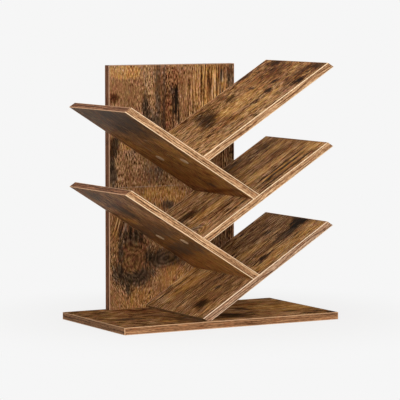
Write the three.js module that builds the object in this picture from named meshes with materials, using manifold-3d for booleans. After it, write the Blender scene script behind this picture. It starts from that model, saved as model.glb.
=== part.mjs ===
// A tree shaped desktop bookshelf. A base board carries a back panel, and five slanted boards, the
// branches, fork left and right in front of it. Each board is particle board with a wood print on its
// faces and glued bands on its edges. Countersunk screws hold the boards, and stick-on caps hide the
// screws that pass through a branch.
// Millimetres, +Z up. The origin is the middle of the underside, and the front faces -Y.

import * as THREE from "three";
import { mergeVertices } from "three/addons/utils/BufferGeometryUtils.js";
import Module from "manifold-3d";

// Boards
const BASE_WIDTH = 400;
const BASE_DEPTH = 223;
const BOARD_THICKNESS = 12; // the base and the branches
const PANEL_WIDTH = 240;
const PANEL_THICKNESS = 15;
const PANEL_RISE = 108.8; // the panel's top above the place where the top branch crosses the middle

// Branches
const BRANCH_SLOPE_DEGREES = 32;
const TIER_PITCH = 131.2; // from one right branch up to the next, and so for the left ones
const TIP_REACH = 182.8; // from the middle to the upper corner of a branch's tip
const BRANCH_SETBACK = 8; // the branches' front edges behind the base's front edge
const FOOT_LIP = 4.5; // the lowest branch's upper corner above the base
const RIGHT_TIERS = ["low", "middle", "top"];
const LEFT_TIERS = ["low", "top"];

// Edge bands
const BAND_THICKNESS = 1;
const BAND_RIM = 0.5; // the bevel along a band's outer corners
const GLUE_LINE = 0.05;

// Joints
const JOINT_GAP = 0.25; // between a branch's sawn end and the face that it butts against
const CUT_OVERRUN = 8; // how far a hole's cutter stands out of the board

// Screws
const SCREW_LENGTH = 40;
const SCREW_DIAMETER = 4;
const SCREW_POINT = 4; // the length of the pointed tip
const SCREW_HEAD_DIAMETER = 7.6;
const SCREW_HEAD_RIM = 0.4; // the straight rim above the head's cone
const SCREW_CLEARANCE = 0.2; // all round the shank and the head
const HEAD_SINK = 0.3; // the head's top below the face of the board
const DRIVE_SPAN = 4.2; // the cross recess in the head
const DRIVE_WIDTH = 1;
const DRIVE_DEPTH = 1.4;
const SCREW_SIDES = 12;

// Places of the screws
const FRONT_SCREW_INSET = 53.5; // from a branch's front edge
const REAR_SCREW_INSET = 63.5; // from the panel's face
const INNER_SCREW_OFFSET = 20; // from the middle of the panel
const OUTER_SCREW_INSET = 30; // from the panel's side
const BASE_SCREW_INSET = 40; // from the panel's side
const FOOT_SCREW_BITE = 6.3; // how deep a foot screw goes into the lowest branch

// Caps over the screws that pass through a branch
const CAP_DIAMETER = 16;
const CAP_THICKNESS = 0.5;
const CAP_RIM = 0.2;
const CAP_SIDES = 20;

// What follows from these
const angle = THREE.MathUtils.degToRad(BRANCH_SLOPE_DEGREES);
const rise = Math.tan(angle);
const downCut = new THREE.Vector2(Math.cos(angle), -Math.sin(angle)); // along a right branch's sawn ends
const upBranch = new THREE.Vector2(Math.cos(angle), Math.sin(angle)); // along a right branch
const cutSine = Math.sin(2 * angle); // of the angle between a sawn end and the branch's faces
const cutLength = BOARD_THICKNESS / cutSine;
const forkReach = TIER_PITCH / 4 / rise; // from the middle to where a branch's top face meets the next one's
const firstCrossing = BOARD_THICKNESS + FOOT_LIP + forkReach * rise;
const panelTop = firstCrossing + (RIGHT_TIERS.length - 1) * TIER_PITCH + PANEL_RISE;
const baseFront = -BASE_DEPTH / 2;
const baseRear = BASE_DEPTH / 2;
const branchFront = baseFront + BRANCH_SETBACK;
const panelFace = baseRear - PANEL_THICKNESS;
const bandSeat = BAND_THICKNESS + GLUE_LINE; // how far a band keeps a board's core back
const headRadius = SCREW_HEAD_DIAMETER / 2;
const shankRadius = SCREW_DIAMETER / 2;
const slantedSink = headRadius / Math.tan(2 * angle) + HEAD_SINK; // for a head in a hole cut aslant
const screwRows = { front: branchFront + FRONT_SCREW_INSET, rear: panelFace - REAR_SCREW_INSET };

const wasm = await Module();
wasm.setup();

/** A solid that can be joined and cut, from a closed geometry. */
function solidOf(geometry) {
  const bare = new THREE.BufferGeometry();
  bare.setAttribute("position", geometry.getAttribute("position"));
  bare.setIndex(geometry.getIndex());
  const merged = mergeVertices(bare);
  const corners = merged.getIndex().array;
  const triangles = [];
  for (let i = 0; i < corners.length; i += 3) {
    const [a, b, c] = corners.slice(i, i + 3);
    if (a !== b && b !== c && c !== a) {
      triangles.push(a, b, c);
    }
  }
  const vertProperties = merged.getAttribute("position").array;
  const triVerts = Uint32Array.from(triangles);
  return new wasm.Manifold(new wasm.Mesh({ numProp: 3, vertProperties, triVerts }));
}

/** The geometry of a solid. */
function geometryOf(solid) {
  const mesh = solid.getMesh();
  const geometry = new THREE.BufferGeometry();
  geometry.setAttribute("position", new THREE.BufferAttribute(mesh.vertProperties, 3));
  geometry.setIndex(new THREE.BufferAttribute(mesh.triVerts, 1));
  geometry.computeVertexNormals();
  return geometry;
}

/** A geometry with others cut out of it. */
function cut(geometry, cutters) {
  let solid = solidOf(geometry);
  for (const cutter of cutters) {
    solid = solid.subtract(solidOf(cutter));
  }
  return geometryOf(solid);
}

// An outline lies in one of these planes, runs anticlockwise there, and is drawn out along the third
// axis. Seen in the plane xz, that is from the rear to the front.
const planes = {
  xz: (u, v, along) => new THREE.Vector3(u, along, v),
  yz: (u, v, along) => new THREE.Vector3(along, u, v),
};

/** A closed solid through a row of rings, each an outline at a place along the plane's third axis. */
function loft(plane, rings) {
  const count = rings[0].outline.length;
  const points = [];
  for (const { outline, along } of rings) {
    points.push(...outline.map((corner) => planes[plane](corner.x, corner.y, along)));
  }
  const index = [];
  const last = (rings.length - 1) * count;
  for (let start = 0; start < last; start += count) {
    for (let i = 0; i < count; i++) {
      const here = start + i;
      const next = start + ((i + 1) % count);
      index.push(here, next, next + count, here, next + count, here + count);
    }
  }
  for (let i = 1; i < count - 1; i++) {
    index.push(0, i + 1, i, last, last + i, last + i + 1);
  }
  const geometry = new THREE.BufferGeometry().setFromPoints(points);
  geometry.setIndex(index);
  geometry.computeVertexNormals();
  return geometry;
}

/** An outline drawn out from one place to another. */
function prism(plane, outline, from, to) {
  return loft(plane, [{ outline, along: from }, { outline, along: to }]);
}

/** A rectangle's outline, from its lowest to its highest corner. */
function rectangle(left, bottom, right, top) {
  const corners = [[left, bottom], [right, bottom], [right, top], [left, top]];
  return corners.map(([u, v]) => new THREE.Vector2(u, v));
}

/** An outline with its sides moved inwards. */
function inset(outline, distance) {
  const inwards = (from, to) => {
    const side = to.clone().sub(from).normalize();
    return new THREE.Vector2(-side.y, side.x);
  };
  return outline.map((corner, i) => {
    const before = outline.at(i - 1);
    const after = outline[(i + 1) % outline.length];
    const first = inwards(before, corner);
    const second = inwards(corner, after);
    const reach = distance / (1 + first.dot(second));
    return corner.clone().addScaledVector(first.add(second), reach);
  });
}

/** An outline with some of its corners bevelled. */
function bevelled(outline, corners, size) {
  return outline.flatMap((corner, i) => {
    if (!corners.includes(i)) {
      return [corner];
    }
    const towards = (other) => corner.clone().addScaledVector(other.clone().sub(corner).normalize(), size);
    return [towards(outline.at(i - 1)), towards(outline[(i + 1) % outline.length])];
  });
}

/** A band over a long edge. It covers the ends of the short bands, and its outer face is bevelled all round. */
function coveringBand(plane, outline, inner, outer) {
  const shoulder = outer + Math.sign(inner - outer) * BAND_RIM;
  const rings = [
    { outline, along: inner },
    { outline, along: shoulder },
    { outline: inset(outline, BAND_RIM), along: outer },
  ];
  const forward = plane === "xz" ? inner > outer : inner < outer;
  return loft(plane, forward ? rings : rings.reverse());
}

// Finishes
const print = { color: 0x74502e, roughness: 0.55, metalness: 0 };
const band = { color: 0x946744, roughness: 0.5, metalness: 0 };
const steel = { color: 0xb9b8b2, roughness: 0.35, metalness: 1 };
const capFilm = { color: 0x8c6840, roughness: 0.5, metalness: 0 };

// Every piece by its name, before and after its holes are cut
const pieces = new Map();

function addPiece(name, geometry, finish) {
  pieces.set(name, { geometry, finish, cutters: [] });
}

/** The base board and its four bands. */
function addBase() {
  const half = BASE_WIDTH / 2;
  const edge = rectangle(-half, 0, half, BOARD_THICKNESS);
  const core = rectangle(-half + bandSeat, 0, half - bandSeat, BOARD_THICKNESS);
  const right = bevelled(rectangle(half - BAND_THICKNESS, 0, half, BOARD_THICKNESS), [1, 2], BAND_RIM);
  const left = bevelled(rectangle(-half, 0, BAND_THICKNESS - half, BOARD_THICKNESS), [0, 3], BAND_RIM);
  const coreRear = baseRear - bandSeat;
  const coreFront = baseFront + bandSeat;
  addPiece("base_board", prism("xz", core, coreRear, coreFront), print);
  addPiece("base_front_band", coveringBand("xz", edge, baseFront + BAND_THICKNESS, baseFront), band);
  addPiece("base_rear_band", coveringBand("xz", edge, baseRear - BAND_THICKNESS, baseRear), band);
  addPiece("base_left_band", prism("xz", left, coreRear, coreFront), band);
  addPiece("base_right_band", prism("xz", right, coreRear, coreFront), band);
}

/** The back panel, which stands on the base, and its bands. Its bottom edge has none. */
function addPanel() {
  const half = PANEL_WIDTH / 2;
  const edge = rectangle(panelFace, BOARD_THICKNESS, baseRear, panelTop);
  const core = rectangle(panelFace, BOARD_THICKNESS, baseRear, panelTop - bandSeat);
  const top = bevelled(rectangle(panelFace, panelTop - BAND_THICKNESS, baseRear, panelTop), [2, 3], BAND_RIM);
  const coreSide = half - bandSeat;
  addPiece("back_panel", prism("yz", core, -coreSide, coreSide), print);
  addPiece("panel_top_band", prism("yz", top, -coreSide, coreSide), band);
  addPiece("panel_right_band", coveringBand("yz", edge, half - BAND_THICKNESS, half), band);
  addPiece("panel_left_band", coveringBand("yz", edge, BAND_THICKNESS - half, -half), band);
}

/** A point on a right branch's top face, or below it by a share of the board's thickness. */
function onBranch(crossing, x, depthShare = 0) {
  const drop = (depthShare * BOARD_THICKNESS) / Math.cos(angle);
  return new THREE.Vector2(x, crossing + x * rise - drop);
}

/** A right branch's outline, whose sawn ends run alongside the left branches. */
function branchOutline(crossing, standsOnBase, tipInset) {
  const slide = (corner, distance) => corner.clone().addScaledVector(upBranch, distance / cutSine);
  const acrossCut = (corner) => corner.clone().addScaledVector(downCut, cutLength);
  const tip = slide(onBranch(crossing, TIP_REACH), -tipInset);
  if (!standsOnBase) {
    const end = slide(onBranch(crossing, -forkReach), JOINT_GAP);
    return [end, acrossCut(end), acrossCut(tip), tip];
  }
  const end = onBranch(crossing, -forkReach);
  const sole = BOARD_THICKNESS + JOINT_GAP;
  const heel = new THREE.Vector2(end.x + (end.y - sole) / rise, sole);
  const toe = new THREE.Vector2((sole - onBranch(crossing, 0, 1).y) / rise, sole);
  return [end, heel, toe, acrossCut(tip), tip];
}

/** The strip of a branch's outline that the band on its tip fills. */
function tipOutline(crossing) {
  const [outerLow, outerHigh] = branchOutline(crossing, false, 0).slice(2);
  const [innerLow, innerHigh] = branchOutline(crossing, false, BAND_THICKNESS).slice(2);
  return bevelled([innerLow, outerLow, outerHigh, innerHigh], [1, 2], BAND_RIM);
}

/** An outline on the other side of the middle, where it still runs anticlockwise. */
function mirrored(outline) {
  return outline.map((corner) => new THREE.Vector2(-corner.x, corner.y)).reverse();
}

/** A branch board with a band on its front edge, its rear edge and its tip. */
function addBranch({ name, side, crossing, standsOnBase }) {
  const onSide = (outline) => (side > 0 ? outline : mirrored(outline));
  const edge = onSide(branchOutline(crossing, standsOnBase, 0));
  const core = onSide(branchOutline(crossing, standsOnBase, bandSeat));
  const tip = onSide(tipOutline(crossing));
  const coreRear = panelFace - bandSeat;
  const coreFront = branchFront + bandSeat;
  addPiece(name, prism("xz", core, coreRear, coreFront), print);
  addPiece(`${name}_front_band`, coveringBand("xz", edge, branchFront + BAND_THICKNESS, branchFront), band);
  addPiece(`${name}_rear_band`, coveringBand("xz", edge, panelFace - BAND_THICKNESS, panelFace), band);
  addPiece(`${name}_tip_band`, prism("xz", tip, coreRear, coreFront), band);
}

/** Half of a countersunk screw's section, or of its hole, which is open above the head. */
function screwProfile(length, clearance, overrun) {
  const head = headRadius + clearance;
  const shank = shankRadius + clearance;
  const coneEnd = SCREW_HEAD_RIM + headRadius - shankRadius;
  const points = [[0, -overrun], [head, -overrun], [head, SCREW_HEAD_RIM], [shank, coneEnd],
    [shank, length - SCREW_POINT], [0, length + clearance]];
  return points.map(([radius, depth]) => new THREE.Vector2(radius, depth));
}

/** A screw with a cross recess, its head's top at the origin and its point along +Y. */
function screwGeometry(length) {
  const body = new THREE.LatheGeometry(screwProfile(length, 0, 0), SCREW_SIDES);
  const arms = [[DRIVE_SPAN, DRIVE_WIDTH], [DRIVE_WIDTH, DRIVE_SPAN]];
  const recess = arms.map(([wide, deep]) => new THREE.BoxGeometry(wide, 2 * DRIVE_DEPTH, deep));
  return cut(body, recess);
}

/** A screw where it is driven, which also cuts its hole in the pieces that it holds. */
function addScrew(name, at, direction, length, held) {
  const turn = new THREE.Quaternion().setFromUnitVectors(new THREE.Vector3(0, 1, 0), direction);
  const place = new THREE.Matrix4().compose(at, turn, new THREE.Vector3(1, 1, 1));
  const hole = new THREE.LatheGeometry(screwProfile(length, SCREW_CLEARANCE, CUT_OVERRUN), SCREW_SIDES);
  hole.applyMatrix4(place);
  for (const piece of held) {
    pieces.get(piece).cutters.push(hole);
  }
  addPiece(name, screwGeometry(length), steel);
  pieces.get(name).place = place;
}

/** A cap on the underside of a branch, over the mouth of a screw's hole. */
function addCap(name, mouth, outwards) {
  const radius = CAP_DIAMETER / 2;
  const shoulder = CAP_THICKNESS - CAP_RIM;
  const points = [[0, 0], [radius, 0], [radius, shoulder], [radius - CAP_RIM, CAP_THICKNESS], [0, CAP_THICKNESS]];
  const profile = points.map(([across, up]) => new THREE.Vector2(across, up));
  const turn = new THREE.Quaternion().setFromUnitVectors(new THREE.Vector3(0, 1, 0), outwards);
  const at = mouth.clone().addScaledVector(outwards, GLUE_LINE);
  addPiece(name, cut(new THREE.LatheGeometry(profile, CAP_SIDES), []), capFilm);
  pieces.get(name).place = new THREE.Matrix4().compose(at, turn, new THREE.Vector3(1, 1, 1));
}

/** The two screws that hold a branch's sawn end, driven along it through the branch that it butts on. */
function addEndScrews({ name, side, crossing }, support) {
  const mouthX = -forkReach - BOARD_THICKNESS / 4 / Math.sin(angle);
  const mouth = onBranch(crossing, mouthX, 0.5);
  const along = new THREE.Vector3(side * upBranch.x, 0, upBranch.y);
  const outwards = new THREE.Vector3(side * downCut.y, 0, -downCut.x);
  for (const [row, y] of Object.entries(screwRows)) {
    const opening = new THREE.Vector3(side * mouth.x, y, mouth.y);
    const at = opening.clone().addScaledVector(along, slantedSink);
    addScrew(`${name}_end_screw_${row}`, at, along, SCREW_LENGTH, [support, name]);
    addCap(`${name}_end_cap_${row}`, opening, outwards);
  }
}

/** The two screws through the back panel into a branch's rear edge. */
function addPanelScrews({ name, side, crossing }) {
  const places = { inner: -INNER_SCREW_OFFSET, outer: PANEL_WIDTH / 2 - OUTER_SCREW_INSET };
  const forwards = new THREE.Vector3(0, -1, 0);
  for (const [word, x] of Object.entries(places)) {
    const middle = onBranch(crossing, x, 0.5);
    const at = new THREE.Vector3(side * middle.x, baseRear - HEAD_SINK, middle.y);
    const held = ["back_panel", `${name}_rear_band`, name];
    addScrew(`${name}_panel_screw_${word}`, at, forwards, SCREW_LENGTH, held);
  }
}

/** The screws up through the base, into the panel and into the lowest branch's foot. */
function addBaseScrews(lowest) {
  const upwards = new THREE.Vector3(0, 0, 1);
  const panelMiddle = (panelFace + baseRear) / 2;
  const fromMiddle = PANEL_WIDTH / 2 - BASE_SCREW_INSET;
  for (const [word, x] of [["left", -fromMiddle], ["right", fromMiddle]]) {
    const at = new THREE.Vector3(x, panelMiddle, HEAD_SINK);
    addScrew(`base_panel_screw_${word}`, at, upwards, SCREW_LENGTH, ["base_board", "back_panel"]);
  }
  const [, heel, toe] = branchOutline(lowest.crossing, true, 0);
  const footMiddle = (heel.x + toe.x) / 2;
  const length = BOARD_THICKNESS - HEAD_SINK + FOOT_SCREW_BITE;
  for (const [row, y] of Object.entries(screwRows)) {
    const at = new THREE.Vector3(footMiddle, y, HEAD_SINK);
    addScrew(`foot_screw_${row}`, at, upwards, length, ["base_board", lowest.name]);
  }
}

// Right and left branches, from the lowest up. A left one crosses the middle half a pitch above the
// right one that carries it, and carries the next right one.
const rightBranches = RIGHT_TIERS.map((tier, i) => ({
  name: `right_branch_${tier}`,
  side: 1,
  crossing: firstCrossing + i * TIER_PITCH,
  standsOnBase: i === 0,
}));
const leftBranches = LEFT_TIERS.map((tier, i) => ({
  name: `left_branch_${tier}`,
  side: -1,
  crossing: firstCrossing + (i + 0.5) * TIER_PITCH,
  standsOnBase: false,
}));
const branches = [...rightBranches, ...leftBranches];

addBase();
addPanel();
branches.forEach(addBranch);
leftBranches.forEach((branch, i) => addEndScrews(branch, rightBranches[i].name));
rightBranches.slice(1).forEach((branch, i) => addEndScrews(branch, leftBranches[i].name));
branches.forEach(addPanelScrews);
addBaseScrews(rightBranches[0]);

const shelf = new THREE.Group();
for (const [name, { geometry, finish, cutters, place }] of pieces) {
  const shape = cutters.length > 0 ? cut(geometry, cutters) : geometry;
  const mesh = new THREE.Mesh(shape, new THREE.MeshStandardMaterial({ ...finish, flatShading: true }));
  mesh.name = name;
  if (place) {
    place.decompose(mesh.position, mesh.quaternion, mesh.scale);
  }
  shelf.add(mesh);
}

export default shelf;
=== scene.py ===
# %% [markdown]
# A tree shaped bookshelf for a desk, dressed in Blender. Its boards, bands and holes come as a fixed
# frame of solids, and this script gives them their looks: a rustic wood print, edge bands with pale
# rims, stick-on caps and real screws. Each step below starts with a few words on what the real piece is
# and on why it is made this way.

# %% Load the frame
import math

import bmesh
import bpy
from mathutils import Matrix, Vector


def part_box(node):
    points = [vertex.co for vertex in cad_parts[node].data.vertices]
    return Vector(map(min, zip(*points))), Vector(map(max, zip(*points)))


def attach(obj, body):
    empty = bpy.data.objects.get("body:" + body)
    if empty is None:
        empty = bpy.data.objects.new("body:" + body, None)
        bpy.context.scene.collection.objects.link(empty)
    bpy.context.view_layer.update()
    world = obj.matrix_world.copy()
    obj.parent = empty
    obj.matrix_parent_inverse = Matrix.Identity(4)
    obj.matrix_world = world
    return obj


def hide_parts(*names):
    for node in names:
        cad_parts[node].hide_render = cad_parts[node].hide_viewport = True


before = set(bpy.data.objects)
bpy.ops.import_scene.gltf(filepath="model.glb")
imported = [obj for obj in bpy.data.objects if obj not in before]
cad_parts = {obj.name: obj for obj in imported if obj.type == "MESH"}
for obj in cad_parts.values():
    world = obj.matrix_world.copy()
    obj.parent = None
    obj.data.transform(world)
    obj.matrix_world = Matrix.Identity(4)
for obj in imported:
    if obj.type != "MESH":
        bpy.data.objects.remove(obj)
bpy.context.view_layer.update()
MM = 0.001
print("solids in the frame:", len(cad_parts))

# %% [markdown]
# The camera stands as it did for the photograph, to the left of the front and a little above the shelf's
# middle, with a long lens. Its place was found by fitting the shelf's corners to the picture. A camera
# could also be aimed with a constraint, but plain numbers can't drift when something else moves.

# %% Camera
CAMERA_PLACE = (-2.02251, -3.61479, 0.55058)
CAMERA_TURN_DEGREES = 29.2166
CAMERA_TILT_DEGREES = 4.8543
CAMERA_LENS = 226.11
SENSOR_WIDTH = 36

scene = bpy.context.scene
scene.view_settings.view_transform = "Standard"
camera_data = bpy.data.cameras.new("camera")
camera_data.lens = CAMERA_LENS
camera_data.sensor_width = SENSOR_WIDTH
camera = bpy.data.objects.new("camera", camera_data)
camera.location = CAMERA_PLACE
camera.rotation_euler = (math.radians(90 - CAMERA_TILT_DEGREES), 0, -math.radians(CAMERA_TURN_DEGREES))
scene.collection.objects.link(camera)
scene.camera = camera
print("camera at", tuple(round(x, 3) for x in camera.location))

# %% [markdown]
# Shader sums are easier to read as Python than as a list of links. This small class wraps one socket of a
# material, and a sum on it adds the node that works the sum out: Math for plain values, Vector Math for
# vectors. Colours are blended with a Mix node, because a Math node would turn them grey. Every other node
# comes from the one method called node.

# %% A socket that can be reckoned with
class Wire:
    """One socket of a node tree, or only the tree, from which new nodes start."""

    def __init__(self, tree, socket=None):
        self.tree = tree
        self.socket = socket

    def node(self, kind, settings=None, inputs=None, output=0):
        """Adds a node with its settings, then gives its sockets their values or wires."""
        made = self.tree.nodes.new(kind)
        for name, value in (settings or {}).items():
            if name == "stops":
                fill_ramp(made.color_ramp, value)
            else:
                setattr(made, name, value)
        for name, value in (inputs or {}).items():
            socket = pick(made.inputs, name)
            if isinstance(value, Wire):
                self.tree.links.new(value.socket, socket)
            else:
                socket.default_value = value
        return Wire(self.tree, pick(made.outputs, output) if made.outputs else None)

    def sum(self, operation, first, second):
        """Adds the node for a sum of two wires or numbers: Vector Math if one of them is a vector."""
        pair = (first, second)
        if any(isinstance(x, Wire) and x.socket.type == "VECTOR" for x in pair):
            widened = [x if isinstance(x, (Wire, tuple)) else (x, x, x) for x in pair]
            return self.node("ShaderNodeVectorMath", {"operation": operation}, dict(enumerate(widened)))
        return self.node("ShaderNodeMath", {"operation": operation}, dict(enumerate(pair)))

    def __add__(self, other):
        return self.sum("ADD", self, other)

    def __radd__(self, other):
        return self.sum("ADD", other, self)

    def __sub__(self, other):
        return self.sum("SUBTRACT", self, other)

    def __rsub__(self, other):
        return self.sum("SUBTRACT", other, self)

    def __mul__(self, other):
        return self.sum("MULTIPLY", self, other)

    def __rmul__(self, other):
        return self.sum("MULTIPLY", other, self)

    def __gt__(self, other):
        return self.sum("GREATER_THAN", self, other)

    def __lt__(self, other):
        return self.sum("LESS_THAN", self, other)

    def __abs__(self):
        return self.node("ShaderNodeMath", {"operation": "ABSOLUTE"}, {0: self})

    def at_least(self, other):
        """The larger of this value and the other one."""
        return self.sum("MAXIMUM", self, other)

    def dot(self, direction):
        """How far this place lies in a direction."""
        return self.node("ShaderNodeVectorMath", {"operation": "DOT_PRODUCT"},
                         {0: self, 1: tuple(direction)}, "Value")

    def length(self):
        """The length of this vector."""
        return self.node("ShaderNodeVectorMath", {"operation": "LENGTH"}, {0: self}, "Value")

    def sine(self):
        """The sine of this value, which is an angle in radians."""
        return self.node("ShaderNodeMath", {"operation": "SINE"}, {0: self})

    def ease(self, low, high):
        """0 below low, 1 above high, and a soft step between them. It also runs from high to low."""
        return self.node("ShaderNodeMapRange", {"interpolation_type": "SMOOTHSTEP"},
                         {"Value": self, "From Min": low, "From Max": high})

    def blend(self, other, share, way="MIX"):
        """This colour with a share of the other one."""
        return self.node("ShaderNodeMix", {"data_type": "RGBA", "blend_type": way},
                         {"Factor": share, "A": self, "B": other}, "Result")


def pick(sockets, name):
    """The socket with that number or name, among those that the node's settings leave in use."""
    if isinstance(name, int):
        return sockets[name]
    return next(s for s in sockets if s.enabled and s.name == name)


def fill_ramp(ramp, stops):
    """Sets a colour ramp's stops, from (place, colour) pairs."""
    while len(ramp.elements) < len(stops):
        ramp.elements.new(1)
    for element, (place, colour) in zip(ramp.elements, stops):
        element.position = place
        element.color = colour


print("a wire can:", ", ".join(name for name in vars(Wire) if not name.startswith("_")))

# %% [markdown]
# Colours are written as on a paint chart, from 0 to 255, because that is how one reads them off a sample.
# Blender reckons with light, so they first go through the curve that screens use. Every material starts
# from the same bare shader, and each finish sets only what it needs.

# %% Paint and materials
def paint(red, green, blue):
    """A colour from the 0 to 255 numbers of a paint chart, as light."""
    channels = [c / 255 for c in (red, green, blue)]
    # The curve that screens follow (sRGB): a straight line close to black, and a power above it.
    linear = [c / 12.92 if c <= 0.04045 else ((c + 0.055) / 1.055) ** 2.4 for c in channels]
    return (*linear, 1)


def new_material(name):
    """A bare material, its Principled shader and a wire to start from."""
    material = bpy.data.materials.new(name)
    material.use_nodes = True
    shader = material.node_tree.nodes["Principled BSDF"]
    return material, shader, Wire(material.node_tree)


def feed(shader, **values):
    """Values or wires for the shader's sockets. Base_Color stands for Base Color."""
    tree = shader.id_data
    for name, value in values.items():
        socket = shader.inputs[name.replace("_", " ")]
        if isinstance(value, Wire):
            tree.links.new(value.socket, socket)
        else:
            socket.default_value = value


print("a mid brown as light:", [round(c, 3) for c in paint(129, 88, 50)])

# %% [markdown]
# The picture has soft, even studio light. Faces to the front and the right branches' tops are bright,
# faces to the left are a good deal darker, and the undersides darkest, yet no pocket is black. A pale
# surrounding gives the evenness. A soft key lamp from above on the left gives direction, and a wide fill
# beside the camera reaches into the pockets. One more lamp stands for the light that a white studio
# ceiling throws down between the branches. It casts no shadow, because that light comes from everywhere
# above. The strengths are set so that a face to the front shows about the colour that its material has.

# %% Lamps
AIM = (0, 0, 0.2)


def soft_lamp(name, place, size, share, shadow=True):
    """A square soft lamp that faces the shelf.

    A share of 1 shows a face that it hits squarely in the face's own colour, from any distance.
    """
    data = bpy.data.lights.new(name, "AREA")
    data.shape = "SQUARE"
    data.size = size
    way = Vector(AIM) - Vector(place)
    data.energy = share * (math.pi * way.length) ** 2
    data.use_shadow = shadow
    lamp = bpy.data.objects.new(name, data)
    lamp.location = place
    lamp.rotation_euler = way.to_track_quat("-Z", "Y").to_euler()
    scene.collection.objects.link(lamp)


soft_lamp("key_lamp", place=(-1.3, -1.8, 1.9), size=1.6, share=0.2)
soft_lamp("fill_lamp", place=(-2.0, -3.6, 0.9), size=1.6, share=0.44)
soft_lamp("ceiling_light", place=(-1.6, -1.2, 2.0), size=1.6, share=0.3, shadow=False)

# %% Surroundings
BACKGROUND = paint(246, 246, 246)
AMBIENT = 0.46


def seen_directly(wire):
    """1 for a ray that shows the picture itself, straight or in a gloss, and 0 for one that only lights."""
    path = wire.node("ShaderNodeLightPath", output="Is Camera Ray")
    glossy = wire.node("ShaderNodeLightPath", output="Is Glossy Ray")
    through = wire.node("ShaderNodeLightPath", output="Is Transmission Ray")
    return path.at_least(glossy).at_least(through)


world = bpy.data.worlds.new("studio")
world.use_nodes = True
scene.world = world
sky = world.node_tree.nodes["Background"]
sky_wire = Wire(world.node_tree)
sky_colours = {"Factor": seen_directly(sky_wire), "A": (AMBIENT, AMBIENT, AMBIENT, 1), "B": BACKGROUND}
lit = sky_wire.node("ShaderNodeMix", {"data_type": "RGBA"}, sky_colours, "Result")
world.node_tree.links.new(lit.socket, sky.inputs["Color"])
print("light from all round:", AMBIENT)

# %% [markdown]
# The floor is a wide pale sheet. To the camera it is mostly the background's own white, with enough real
# shade left in it near the shelf to show where the base stands. Further out it becomes the background, so
# that no horizon shows. It lies a hair below the base, so that the two faces don't share one plane.

# %% Floor
FLOOR_SIZE = 12
FLOOR_DROP = 0.02
FLOOR_PAINT = paint(250, 249, 247)
FLOOR_SHADE = 0.2
SHADE_FADES = (0.2, 0.5)

corner = FLOOR_SIZE / 2
corners = [(-corner, -corner, 0), (corner, -corner, 0), (corner, corner, 0), (-corner, corner, 0)]
floor_mesh = bpy.data.meshes.new("floor")
floor_mesh.from_pydata(corners, [], [(0, 1, 2, 3)])
floor = bpy.data.objects.new("floor", floor_mesh)
floor.location.z = -FLOOR_DROP * MM
scene.collection.objects.link(floor)

floor_paint = bpy.data.materials.new("floor")
floor_paint.use_nodes = True
floor_paint.node_tree.nodes.clear()
wire = Wire(floor_paint.node_tree)
place = wire.node("ShaderNodeTexCoord", output="Object")
near = place.length().ease(SHADE_FADES[1], SHADE_FADES[0])
glow_share = seen_directly(wire) * (1 - near * FLOOR_SHADE)
matt = wire.node("ShaderNodeBsdfDiffuse", inputs={"Color": FLOOR_PAINT})
glow = wire.node("ShaderNodeEmission", inputs={"Color": BACKGROUND})
whole = wire.node("ShaderNodeMixShader", inputs={0: glow_share, 1: matt, 2: glow})
wire.node("ShaderNodeOutputMaterial", inputs={"Surface": whole})
floor_mesh.materials.append(floor_paint)
print("floor:", FLOOR_SIZE, "m wide")

# %% [markdown]
# Each board carries its print along its own length, so every board gets a small frame of its own: along
# the grain, across it and out of its face. A texture could be laid out with UV maps, but the boards are
# flat and lie where they are, so three dot products turn the shelf's coordinates into the board's. All of
# this is in millimetres, as on the drawing.

# %% The boards' own directions
SLOPE = math.radians(32)
TIER_PITCH = 131.2
FIRST_CROSSING = 49.3
BOARD = 12
PANEL_BOARD = 15
PANEL_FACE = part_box("back_panel")[0].y / MM
RUN = math.cos(SLOPE)
CLIMB = math.sin(SLOPE)


class Board:
    """A flat board: the middle of its face, the ways along, across and out of it, and its thickness."""

    def __init__(self, name, middle, along, across, outwards, thickness):
        self.name = name
        self.middle = Vector(middle)
        self.along = Vector(along)
        self.across = Vector(across)
        self.outwards = Vector(outwards)
        self.thickness = thickness

    def coordinates(self, wire):
        """How far a point lies along the board, across it and above its face, in millimetres."""
        place = wire.node("ShaderNodeTexCoord", output="Object") * (1 / MM)
        away = place - tuple(self.middle)
        return away.dot(self.along), away.dot(self.across), away.dot(self.outwards)


def branch_board(name, side, tier):
    """A branch, measured along its slope from the middle of the shelf outwards."""
    middle = (0, 0, FIRST_CROSSING + tier * TIER_PITCH)
    return Board(name, middle, (side * RUN, 0, CLIMB), (0, 1, 0), (-side * CLIMB, 0, RUN), BOARD)


boards = {board.name: board for board in (
    Board("base_board", (0, 0, BOARD), (1, 0, 0), (0, 1, 0), (0, 0, 1), BOARD),
    Board("back_panel", (0, PANEL_FACE, 0), (0, 0, 1), (1, 0, 0), (0, -1, 0), PANEL_BOARD),
    branch_board("right_branch_low", 1, 0),
    branch_board("right_branch_middle", 1, 1),
    branch_board("right_branch_top", 1, 2),
    branch_board("left_branch_low", -1, 0.5),
    branch_board("left_branch_top", -1, 1.5),
)}
print("boards:", ", ".join(boards))

# %% [markdown]
# The print is paper with a picture of old, weathered boards: soft streaks, fine dark fibres, pale and dark
# patches as wide as a hand. Noise stretched along the grain gives each of these. They are added up to one
# value, the tone, that ramps turn into colours. The alternative, a painted image, would need a picture
# file and would look soft from close by.

# %% Noise along the grain
NOISE_MIDDLE = 0.5


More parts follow.
